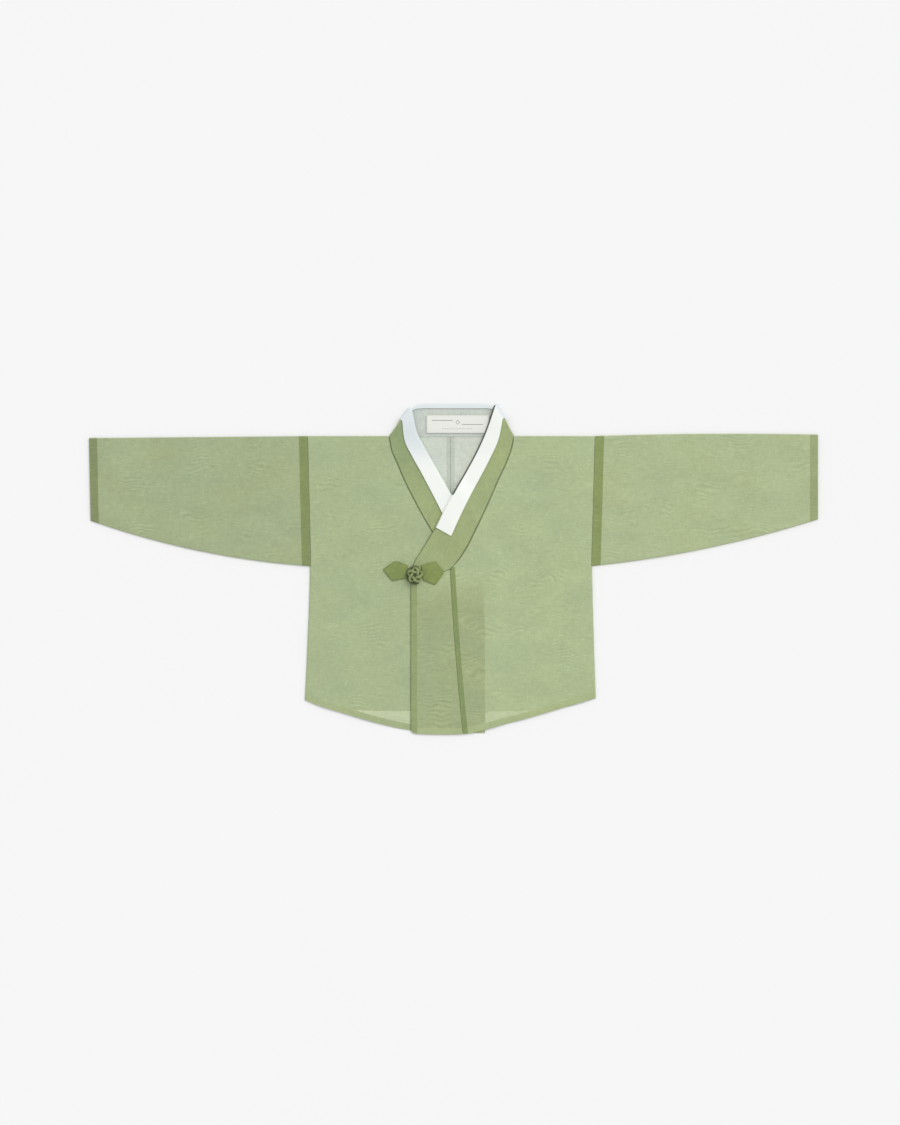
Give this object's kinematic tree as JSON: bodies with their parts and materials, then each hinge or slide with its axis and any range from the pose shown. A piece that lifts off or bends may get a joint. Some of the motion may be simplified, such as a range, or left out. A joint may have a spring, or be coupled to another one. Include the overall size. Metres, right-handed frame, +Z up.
{
  "type": "korean hanbok",
  "caption": "Child's Korean hanbok jacket (jeogori) laid flat: folded body panels, curved sleeves, crossed collar with white strip, overlap panel and knotted button.",
  "frame": {"origin": "centre of the jacket's footprint, on the surface it lies on", "axes": "+X across the jacket from its inner-front side to its outer-front side, +Y from the hem to the collar, +Z up, away from the surface"},
  "size_m": [0.7286, 0.33, 0.0139],
  "materials": {
    "green_gauze": "fine slubbed sheer weave, soft sheen",
    "collar_gauze": "fine slubbed sheer weave, four layers",
    "knot_cloth": "folded cloth, matte",
    "white_strip": "crisp white cloth over a stiff core",
    "label_weave": "plain woven tape"
  },
  "bodies": {
    "root": {"gil_left": "green_gauze", "gil_right": "green_gauze", "seop": "green_gauze", "sleeve_left": "green_gauze", "sleeve_right": "green_gauze", "git": "collar_gauze", "dongjeong": "white_strip", "neck_label": "label_weave", "tab_left": "knot_cloth", "tab_right": "knot_cloth", "knot_button": "knot_cloth", "button_loop": "knot_cloth"}
  },
  "joints": []
}
